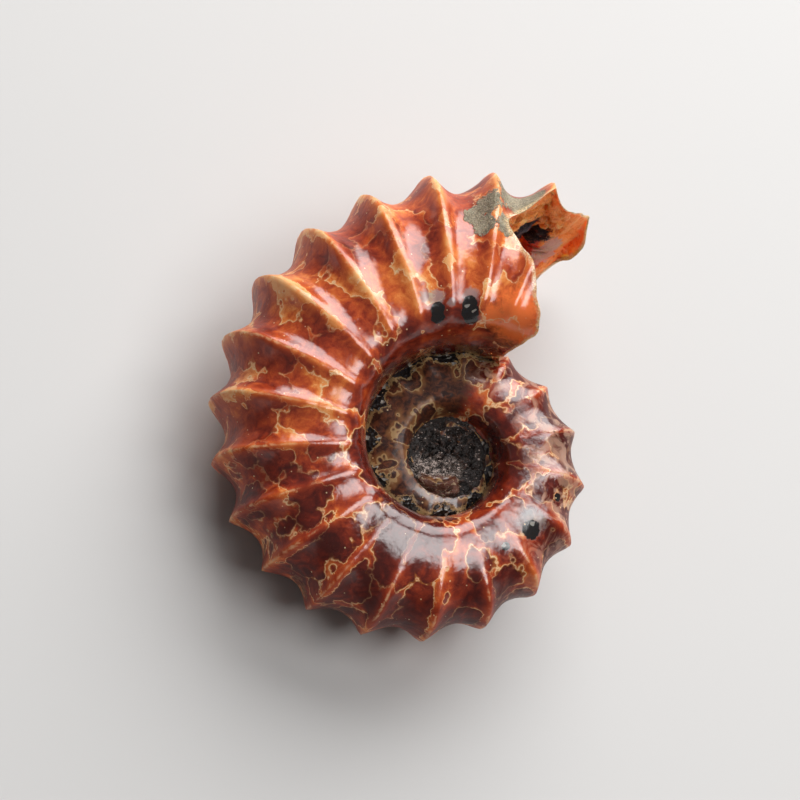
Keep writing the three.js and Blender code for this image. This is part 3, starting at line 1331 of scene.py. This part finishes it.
@dataclass(frozen=True)
class PolishedStone:
    """The polished brown calcite, with frilled lines, crests made paler by a painted glow and highlight, and
    pockets of dark rock.

    A field named edge, line or ribs holds where a smooth step starts and ends, and in some the values there.
    One named tone is what a feature adds to the place on the run of browns.
    """

    name: str = "polished_stone"
    sutures: SutureLobes = SutureLobes()
    browns: tuple[tuple[float, Colour], ...] = (
        (0.0, (0.060, 0.006, 0.004)),
        (0.2, (0.150, 0.013, 0.006)),
        (0.42, (0.37, 0.042, 0.012)),
        (0.62, (0.60, 0.11, 0.022)),
        (0.80, (0.80, 0.25, 0.050)),
        (1.0, (0.88, 0.48, 0.20)),
    )
    middle_tone: float = 0.55
    cloud_tones: tuple[tuple[str, float], ...] = (
        ("broad", 0.9),
        ("swirl", 0.75),
        ("fine", 0.35),
        ("grain", 0.16),
    )
    # A painted glow: the crests are made paler and more orange, as if light shone through the thin ribs.
    crest_glow_tone: float = 0.30
    # Painted shade: from about rib 7 back, the older ribs are darkened as if in shadow.
    older_shade_tone: float = -0.31
    right_tone: float = -0.04
    # Painted shade: the navel wall, the steep wall down to the seam, is darkened as if in the recess's
    # shadow.
    navel_shade_tone: float = -0.27
    navel_places: Span = (1.02, 1.25)
    navel_ribs: Span = (15.0, 11.0)
    near_tone: float = 0.24
    near_line: Span = (1.1, 0.0)
    within_tone: float = -0.07
    edging_tone: float = -0.05
    edging_line: Span = (0.9, 0.1)
    # The knob's orange: partly its own colour and partly painted light that lifts it out of its shade.
    lobe_orange_lit: Colour = (1.0, 0.215, 0.045)
    lobe_edge: Span = (0.50, 1.0, 0.0, 0.85)
    lobe_mottling: float = 0.7

    cream: Colour = (0.86, 0.62, 0.35)
    cream_line: Span = (0.13, 0.03)
    cream_gaps: Span = (0.35, 0.55, 0.2, 0.85)
    halo: Colour = (0.80, 0.27, 0.055)
    halo_line: Span = (0.30, 0.03)
    # Cream along the belly's crests: partly cream calcite and partly a painted highlight.
    lit_crest_edge: Span = (0.10, 0.05)
    lit_crest_ragged: float = 0.12
    lit_crest_places: Span = (0.95, 0.6)
    lit_crest_gaps: Span = (0.42, 0.60)
    lit_crest_share: float = 0.55
    # A milky paleness on the right-hand ribs' belly side: partly milky calcite and partly a painted sheen.
    milky: Colour = (0.56, 0.36, 0.25)
    milky_edge: Span = (0.46, 0.62)
    milky_places: Span = (1.1, 0.8)

    cell_dark: Colour = (0.030, 0.010, 0.007)
    cell_brown: Colour = (0.135, 0.040, 0.017)
    cell_mottling: Span = (0.38, 0.68)
    cell_pale: Colour = (0.24, 0.10, 0.035)
    pale_line: Span = (0.9, 0.05)
    web: Colour = (0.40, 0.26, 0.12)
    web_line: Span = (0.16, 0.05)
    groove_edge: Span = (0.88, 0.97)
    seam_ragged: float = 0.5
    seam_line: Span = (0.80, 0.88)
    seam_line_end: Span = (0.97, 0.91)
    pockets_per_rib: float = 0.85
    pocket_shape: Span = (0.4, 1.1)
    seam_pocket_edge: Span = (1.28, 1.33)
    pocket_rim_edge: Span = (1.18, 1.27)

    pocket: Colour = (0.012, 0.009, 0.009)
    pocket_edge: Span = (0.4, 0.40, 0.48)
    crystal: Colour = (0.60, 0.56, 0.50)
    crystals_per_mm: float = 2.2
    crystal_chance: Span = (0.955, 0.97)
    seam_crystal_chance: Span = (0.84, 0.88)
    blue_grey: Colour = (0.30, 0.30, 0.30)
    blue_edge: Span = (0.8, 0.30, 0.60)
    blue_share: float = 0.6
    rock_dark: Colour = (0.13, 0.105, 0.07)
    rock_pale: Colour = (0.44, 0.38, 0.27)
    rock_edge: Span = (0.8, 0.36, 0.44)
    rock_mottling: Span = (0.42, 0.72)
    rock_clouds: Span = (0.35, 0.8)

    rim_edge: Span = (0.28, 0.12)
    rim_ragged: float = 0.16
    rim_specks: Span = (0.42, 0.56, 0.15, 0.9)
    # A painted glow: the hollow's orange and amber fill is pushed to full brightness, as if lit through the
    # thin wall; the orange is the stone's own.
    break_orange_glow: Colour = (1.0, 0.32, 0.075)
    break_amber_glow: Colour = (1.0, 0.50, 0.20)
    amber_edge: Span = (0.50, 0.72)
    break_rust: Colour = (0.70, 0.13, 0.022)
    rust_edge: Span = (0.50, 0.36, 0.0, 0.75)
    break_red: Colour = (0.60, 0.065, 0.035)
    break_pink: Colour = (0.66, 0.36, 0.28)
    # Painted shadow: near-black for the shaded patches and the deep core of the broken end's hollow.
    break_shadow: Colour = (0.022, 0.016, 0.022)
    break_edge: Span = (0.6, 0.30, 0.42)
    shadow_core_edge: Span = (0.50, 0.62)
    break_specks: Span = (0.62, 0.70)
    hollow_edge: Span = (0.0, 0.01)

    specks_per_mm: float = 0.75
    speck_edge: Span = (0.085, 0.05)
    fleck_edge: Span = (0.34, 0.27)
    fleck_clouds: Span = (0.52, 0.60)

    glossy_rib: float = 29.3
    glossy_reach: Span = (1.5, 0.8)
    inner_dull: float = 0.85
    glossy_polish: float = 0.6
    belly_places: Span = (0.72, 0.40)
    roughness: float = 0.20
    dull_roughness: float = 0.30
    belly_roughness: float = 0.14
    fine_roughness: float = 0.10
    glow: Span = (0.22, 0.85)
    wave_cloud: Span = (0.55, 2.0)

    def make(self) -> bpy.types.Material:
        """Draws the material.

        Returns:
            The material.
        """
        sheet = StoneSheet(self.name, self.sutures)
        base = self._frill(sheet, self._browns(sheet))
        base = sheet.blend(sheet.inner, base, self._inner_turns(sheet))
        base, seam_pockets = self._seam(sheet, base)
        crystals, chance = sheet.cells(sheet.mm, self.crystals_per_mm)
        rock = sheet.patch("grey_rock", *self.rock_edge)
        base = self._fill(sheet, base, rock, seam_pockets, chance)
        behind_rim = sheet.attribute("behind_rim")
        depth = sheet.product(behind_rim, -1.0)
        hollow = sheet.rise(depth, *self.hollow_edge)
        rim = sheet.rise(sheet.total(behind_rim, sheet.product(sheet.fine, self.rim_ragged)), *self.rim_edge)
        base = sheet.blend(sheet.product(rim, sheet.rise(sheet.grain, *self.rim_specks)), base, self.cream)
        base = sheet.blend(hollow, base, self._inside(sheet, depth))
        sheet.feed(sheet.shader.inputs["Base Color"], self._fleck(sheet, base))
        self._polish(sheet, rock, hollow)
        self._relieve(sheet, sheet.larger(rock, hollow), sheet.product(crystals, seam_pockets, 0.6))
        return sheet.material

    def _browns(self, sheet: StoneSheet) -> Socket:
        """The stone's browns, darker or paler with the clouds, the ribs and the lines' distance, with painted
        light: a glow on the crests and the knob, and shade on the older ribs and the navel wall.

        Args:
            sheet: The sheet.

        Returns:
            The colour.
        """
        navel_wall = sheet.rise(sheet.place, *self.navel_places)
        navel_wall = sheet.product(navel_wall, sheet.rise(sheet.count, *self.navel_ribs))
        near = sheet.product(sheet.rise(sheet.from_line, *self.near_line), sheet.outside, sheet.fading)
        edging = sheet.product(sheet.rise(sheet.from_line, *self.edging_line), sheet.within)
        tone = sheet.total(
            self.middle_tone,
            *(sheet.sway(sheet.clouds[name], much) for name, much in self.cloud_tones),
            # Painted glow on the crests.
            sheet.product(sheet.crest, self.crest_glow_tone),
            # Painted shade on the older ribs.
            sheet.product(sheet.older, self.older_shade_tone),
            sheet.product(sheet.right, self.right_tone),
            # Painted shade on the navel wall.
            sheet.product(navel_wall, self.navel_shade_tone),
            sheet.product(near, self.near_tone),
            sheet.product(sheet.within, self.within_tone),
            sheet.product(edging, self.edging_tone),
        )
        # The knob's orange, partly its own colour and partly painted light.
        lobe = sheet.total(sheet.attribute("orange_lobe"), sheet.product(sheet.fine, self.lobe_mottling))
        lobe = sheet.rise(lobe, *self.lobe_edge)
        return sheet.blend(lobe, sheet.ramp(tone, self.browns), self.lobe_orange_lit)

    def _frill(self, sheet: StoneSheet, base: Socket) -> Socket:
        """Lays the cream lines with their orange halo, the lit crests with their painted highlight and the
        milky clouds, partly a painted sheen, on the browns.

        Args:
            sheet: The sheet.
            base: The browns.

        Returns:
            The colour.
        """
        halo = sheet.product(sheet.rise(sheet.from_line, *self.halo_line), sheet.fading, 0.5)
        base = sheet.blend(halo, base, self.halo)
        gaps = sheet.rise(sheet.grain, *self.cream_gaps)
        line = sheet.product(sheet.rise(sheet.from_line, *self.cream_line), sheet.fading, gaps)
        base = sheet.blend(line, base, self.cream)
        # Cream on the crests, partly the calcite's own and partly a painted highlight.
        off = sheet.total(sheet.crest_off, sheet.product(sheet.fine, self.lit_crest_ragged))
        lit_crest = sheet.product(
            sheet.rise(off, *self.lit_crest_edge),
            self.lit_crest_share,
            sheet.rise(sheet.place, *self.lit_crest_places),
            sheet.rise(sheet.swirl, *self.lit_crest_gaps),
        )
        base = sheet.blend(lit_crest, base, self.cream)
        # Milky paleness on the right-hand ribs, partly calcite and partly a painted sheen.
        flank = sheet.rise(sheet.place, *self.milky_places)
        milky = sheet.product(sheet.rise(sheet.swirl, *self.milky_edge), sheet.right, flank, 0.5)
        return sheet.blend(milky, base, self.milky)

    def _inner_turns(self, sheet: StoneSheet) -> Socket:
        """The dark brown inner turns with their paler web.

        Args:
            sheet: The sheet.

        Returns:
            The colour.
        """
        dark = sheet.blend(sheet.rise(sheet.fine, *self.cell_mottling), self.cell_dark, self.cell_brown)
        pale = sheet.product(sheet.rise(sheet.from_line, *self.pale_line), sheet.outside, 0.8)
        dark = sheet.blend(pale, dark, self.cell_pale)
        return sheet.blend(sheet.product(sheet.rise(sheet.from_line, *self.web_line), 0.8), dark, self.web)

    def _seam(self, sheet: StoneSheet, base: Socket) -> tuple[Socket, Socket]:
        """Draws the seam between two turns, with a row of dark pockets along it.

        Args:
            sheet: The sheet.
            base: The colour so far.

        Returns:
            The colour, with the rims of the pockets, and where the pockets are.
        """
        seam = sheet.attribute("near_seam")
        rough_seam = sheet.total(seam, sheet.sway(sheet.fine, self.seam_ragged))
        base = sheet.blend(sheet.product(sheet.rise(seam, *self.groove_edge), 0.8), base, self.cell_dark)
        line = sheet.rise(rough_seam, *self.seam_line)
        line = sheet.product(line, sheet.rise(rough_seam, *self.seam_line_end), 0.8)
        base = sheet.blend(line, base, self.web)
        saw = sheet.off_whole(sheet.product(sheet.total(sheet.count, sheet.swirl), self.pockets_per_rib))
        shape = zip((sheet.swirl, saw), self.pocket_shape)
        reach = sheet.total(rough_seam, *(sheet.product(part, much) for part, much in shape))
        pockets = sheet.product(sheet.rise(reach, *self.seam_pocket_edge), sheet.inner)
        rims = sheet.product(sheet.rise(reach, *self.pocket_rim_edge), sheet.inner, 0.7)
        return sheet.blend(rims, base, self.web), pockets

    def _fill(
        self, sheet: StoneSheet, base: Socket, rock: Socket, seam_pockets: Socket, chance: Socket
    ) -> Socket:
        """Fills in the blue grey clouds, the grey rock and the black pockets with their crystals.

        Args:
            sheet: The sheet.
            base: The colour so far.
            rock: Where the grey rock is.
            seam_pockets: Where the seam's pockets are.
            chance: The number that each crystal draws.

        Returns:
            The colour.
        """
        blue = sheet.patch("blue_grey", *self.blue_edge)
        base = sheet.blend(sheet.product(blue, self.blue_share), base, self.blue_grey)
        clouds = zip((sheet.swirl, sheet.grain), self.rock_clouds)
        mottling = sheet.total(*(sheet.product(cloud, much) for cloud, much in clouds))
        mottling = sheet.rise(mottling, *self.rock_mottling)
        base = sheet.blend(rock, base, sheet.blend(mottling, self.rock_dark, self.rock_pale))
        pocket = sheet.larger(sheet.patch("black_pocket", *self.pocket_edge), seam_pockets)
        in_seam = sheet.product(sheet.rise(chance, *self.seam_crystal_chance), seam_pockets)
        white = sheet.larger(sheet.rise(chance, *self.crystal_chance), in_seam)
        return sheet.blend(pocket, base, sheet.blend(sheet.product(white, 0.5), self.pocket, self.crystal))

    def _inside(self, sheet: StoneSheet, depth: Socket) -> Socket:
        """The orange fill that shows in the broken end's hollow, brightened as a painted glow, with its red
        and pink patches, patches of painted shadow and a black core of painted shade deep in the hollow.

        Args:
            sheet: The sheet.
            depth: How deep in the hollow each point is, from 0 to 1.

        Returns:
            The colour.
        """
        # The stone's orange and amber, brightened to a painted glow.
        inside = sheet.blend(sheet.rise(sheet.swirl, *self.amber_edge), self.break_orange_glow, self.break_amber_glow)
        inside = sheet.blend(sheet.rise(sheet.fine, *self.rust_edge), inside, self.break_rust)
        # Red and pink patches, and patches of painted shadow.
        for name in ("break_red", "break_pink", "break_shadow"):
            inside = sheet.blend(sheet.patch(name, *self.break_edge), inside, getattr(self, name))
        rough_depth = sheet.total(depth, sheet.sway(sheet.fine, self.rim_ragged))
        # Painted shade: the deepest part of the hollow is blackened.
        inside = sheet.blend(sheet.rise(rough_depth, *self.shadow_core_edge), inside, self.break_shadow)
        specks = sheet.product(sheet.rise(sheet.grain, *self.break_specks), 0.6)
        return sheet.blend(specks, inside, self.cream)

    def _fleck(self, sheet: StoneSheet, base: Socket) -> Socket:
        """Scatters cream specks and tiny dark flecks over the colour.

        Args:
            sheet: The sheet.
            base: The colour so far.

        Returns:
            The colour.
        """
        speck, _ = sheet.cells(sheet.mm, self.specks_per_mm)
        base = sheet.blend(sheet.product(sheet.rise(speck, *self.speck_edge), 0.8), base, self.cream)
        fleck = sheet.rise(sheet.grain, *self.fleck_edge)
        fleck = sheet.product(fleck, sheet.rise(sheet.fine, *self.fleck_clouds))
        return sheet.blend(sheet.product(fleck, 0.7), base, self.pocket)

    def _polish(self, sheet: StoneSheet, rock: Socket, hollow: Socket) -> None:
        """Sets the polish, which is duller on rock, in the hollow, on the inner turns and on the belly.

        Args:
            sheet: The sheet.
            rock: Where the grey rock is.
            hollow: Where the broken end's hollow is.
        """
        shader = sheet.shader.inputs
        off_rib = sheet.math("ABSOLUTE", sheet.math("SUBTRACT", sheet.count, self.glossy_rib))
        glossy = sheet.product(sheet.rise(off_rib, *self.glossy_reach), self.glossy_polish)
        dull_turn = sheet.product(sheet.inner, sheet.math("SUBTRACT", self.inner_dull, glossy))
        dull = sheet.larger(sheet.larger(rock, hollow), dull_turn)
        belly = sheet.rise(sheet.place, *self.belly_places)
        rough = sheet.total(
            self.roughness,
            sheet.product(dull, self.dull_roughness),
            sheet.product(belly, self.belly_roughness),
            sheet.product(sheet.fine, self.fine_roughness),
        )
        sheet.feed(shader["Roughness"], rough)
        sheet.feed(shader["Coat Weight"], sheet.product(sheet.rest_of(dull), sheet.rest_of(belly)))
        sheet.feed(shader["Subsurface Weight"], sheet.rise(hollow, 0.0, 1.0, *self.glow))
        shader["IOR"].default_value = 1.46
        shader["Specular IOR Level"].default_value = 0.2
        shader["Coat Roughness"].default_value = 0.05
        shader["Coat IOR"].default_value = 1.7
        shader["Subsurface Radius"].default_value = (1.0, 0.35, 0.15)
        shader["Subsurface Scale"].default_value = 0.0008

    def _relieve(self, sheet: StoneSheet, rough: Socket, crystals: Socket) -> None:
        """Gives the shading its soft waves and its fine relief.

        Args:
            sheet: The sheet.
            rough: Where the surface is rough.
            crystals: The heights of the crystals in the seam's pockets.
        """
        waves = sheet.bump(sheet.noise(sheet.mm, *self.wave_cloud), 0.5, 0.00016)
        small = sheet.total(
            sheet.product(sheet.fine, 0.05),
            sheet.product(sheet.grain, 0.016),
            sheet.product(sheet.fine, rough, 0.5),
            sheet.product(sheet.grain, rough, 0.25),
            crystals,
        )
        relief = sheet.bump(small, 0.8, 0.0006, waves)
        sheet.feed(sheet.shader.inputs["Normal"], relief)
        sheet.feed(sheet.shader.inputs["Coat Normal"], relief)


@dataclass(frozen=True)
class RoughRock:
    """The rough dark rock in the pits, with glittering grains and a lens of clear brown stone."""

    name: str = "rough_rock"
    dark: Colour = (0.020, 0.014, 0.012)
    brown: Colour = (0.10, 0.052, 0.036)
    brown_edge: Span = (0.5, 0.72)
    glitter: Colour = (0.62, 0.50, 0.44)
    needle_stretch: tuple[float, float, float] = (1.0, 2.4, 2.4)
    needles_per_mm: float = 2.6
    needle_chance: Span = (0.86, 0.90)
    needle_edge: Span = (0.45, 0.25)
    needle_clouds: Span = (0.40, 0.55, 0.25, 1.0)
    band_edge: Span = (0.15, 0.5)
    band_grains: Span = (0.47, 0.56)
    band_share: float = 0.95
    lens_brown: Colour = (0.13, 0.045, 0.026)
    lens_cream: Colour = (0.50, 0.36, 0.22)
    lens_edge: Span = (0.34, 0.60)
    lens_ragged: float = 0.3
    streak_cloud: Span = (1.1, 1.0, 0.5, 2.5)
    streak_edge: Span = (0.56, 0.66)
    streak_share: float = 0.7
    roughness: float = 0.24

    def make(self) -> bpy.types.Material:
        """Draws the material.

        Returns:
            The material.
        """
        sheet = NodeSheet(self.name)
        mm = sheet.millimetres()
        lumps = sheet.noise(mm, 1.3, 4.0, 0.65)
        grain = sheet.noise(mm, 6.0, 3.0, 0.7)
        base = sheet.blend(sheet.rise(lumps, *self.brown_edge), self.dark, self.brown)
        band = sheet.rise(sheet.attribute("pit_glitter"), *self.band_edge)
        band = sheet.product(band, sheet.rise(grain, *self.band_grains), self.band_share)
        base = sheet.blend(band, base, self.glitter)
        away, chance = sheet.cells(sheet.scaled(mm, self.needle_stretch), self.needles_per_mm)
        needles = sheet.product(sheet.rise(chance, *self.needle_chance), sheet.rise(away, *self.needle_edge))
        needles = sheet.product(needles, sheet.rise(lumps, *self.needle_clouds))
        base = sheet.blend(needles, base, self.glitter)
        streaks = sheet.rise(sheet.noise(mm, *self.streak_cloud), *self.streak_edge)
        streaks = sheet.product(streaks, self.streak_share)
        lens = sheet.total(sheet.attribute("pit_lens"), sheet.product(lumps, self.lens_ragged))
        lens_colour = sheet.blend(streaks, self.lens_brown, self.lens_cream)
        base = sheet.blend(sheet.rise(lens, *self.lens_edge), base, lens_colour)
        shader = sheet.shader.inputs
        sheet.feed(shader["Base Color"], base)
        shader["Roughness"].default_value = self.roughness
        shader["IOR"].default_value = 1.55
        coarse = sheet.bump(lumps, 0.8, 0.0005)
        sheet.feed(shader["Normal"], sheet.bump(grain, 0.9, 0.00022, coarse))
        return sheet.material


# ---- Camera, light and floor ----


@dataclass(frozen=True)
class Softbox:
    """A soft square lamp: which way it stands from the fossil, how far, how large and how bright it looks."""

    name: str
    towards: tuple[float, float, float]
    distance: float
    size: tuple[float, float]
    brightness: float

    def make(self, aim: Vector) -> None:
        """Hangs the lamp.

        Args:
            aim: The place that it faces, in metres.
        """
        data = bpy.data.lights.new(self.name, "AREA")
        data.shape = "RECTANGLE"
        data.size, data.size_y = self.size
        data.energy = self.brightness * math.pi * self.size[0] * self.size[1]
        lamp = bpy.data.objects.new(self.name, data)
        back = Vector(self.towards).normalized()
        lamp.rotation_euler = back.to_track_quat("Z", "Y").to_euler()
        lamp.location = aim + back * self.distance
        bpy.context.scene.collection.objects.link(lamp)


@dataclass(frozen=True)
class Studio:
    """A pale floor, soft light and a camera that looks down on the fossil."""

    camera_at: tuple[float, float, float] = (-65.24, -83.66, 254.02)
    camera_aim: tuple[float, float, float] = (-1.305, 0.471, 12.085)
    camera_up: tuple[float, float, float] = (-0.0209, 0.946, 0.3234)
    lens: float = 103.3
    floor_size: float = 3.0
    floor_colour: Colour = (0.60, 0.59, 0.58)
    sky: Colour = (1.0, 0.99, 0.98)
    sky_brightness: float = 0.12
    lamps: tuple[Softbox, ...] = (
        Softbox("top_softbox", (0.331, -0.144, 0.932), 0.6, (0.34, 0.30), 5.4),
        Softbox("back_softbox", (0.316, 0.739, 0.595), 0.6, (0.70, 0.60), 4.6),
    )

    def build(self) -> None:
        """Puts up the camera, lamps, floor and sky."""
        self.camera()
        for lamp in self.lamps:
            lamp.make(Vector(self.camera_aim) * MM)
        self.floor()
        world = bpy.data.worlds.new("sky")
        world.use_nodes = True
        background = world.node_tree.nodes["Background"]
        background.inputs["Color"].default_value = (*self.sky, 1.0)
        background.inputs["Strength"].default_value = self.sky_brightness
        bpy.context.scene.world = world
        bpy.context.scene.view_settings.view_transform = "Standard"

    def floor(self) -> None:
        """Lays the floor."""
        mesh = bmesh.new()
        bmesh.ops.create_grid(mesh, x_segments=1, y_segments=1, size=self.floor_size / 2)
        data = bpy.data.meshes.new("floor")
        mesh.to_mesh(data)
        mesh.free()
        sheet = NodeSheet("pale_floor")
        sheet.shader.inputs["Base Color"].default_value = (*self.floor_colour, 1.0)
        sheet.shader.inputs["Roughness"].default_value = 0.7
        data.materials.append(sheet.material)
        floor = bpy.data.objects.new("floor", data)
        bpy.context.scene.collection.objects.link(floor)

    def camera(self) -> None:
        """Puts the camera in the scene."""
        data = bpy.data.cameras.new("camera")
        data.sensor_width = 36
        data.lens = self.lens
        data.clip_start, data.clip_end = 0.01, 10
        camera = bpy.data.objects.new("camera", data)
        back = (Vector(self.camera_at) - Vector(self.camera_aim)).normalized()
        right = Vector(self.camera_up).cross(back).normalized()
        turn = Matrix((right, back.cross(right), back)).transposed().to_4x4()
        camera.matrix_world = Matrix.Translation(Vector(self.camera_at) * MM) @ turn
        bpy.context.scene.collection.objects.link(camera)
        bpy.context.scene.camera = camera


def main() -> None:
    """Builds the fossil and its studio."""
    logging.basicConfig(level=logging.INFO)
    fossil = FossilBody().build()
    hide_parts("ammonite")
    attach(fossil, "root")
    log.info("%s: %d faces", fossil.name, len(fossil.data.polygons))
    finishes = {Finish.STONE: PolishedStone(), Finish.ROCK: RoughRock()}
    for finish in Finish:
        fossil.data.materials.append(finishes[finish].make())
        log.info("%s: dressed in %s", fossil.name, finishes[finish].name)
    Studio().build()


if __name__ == "__main__":
    main()
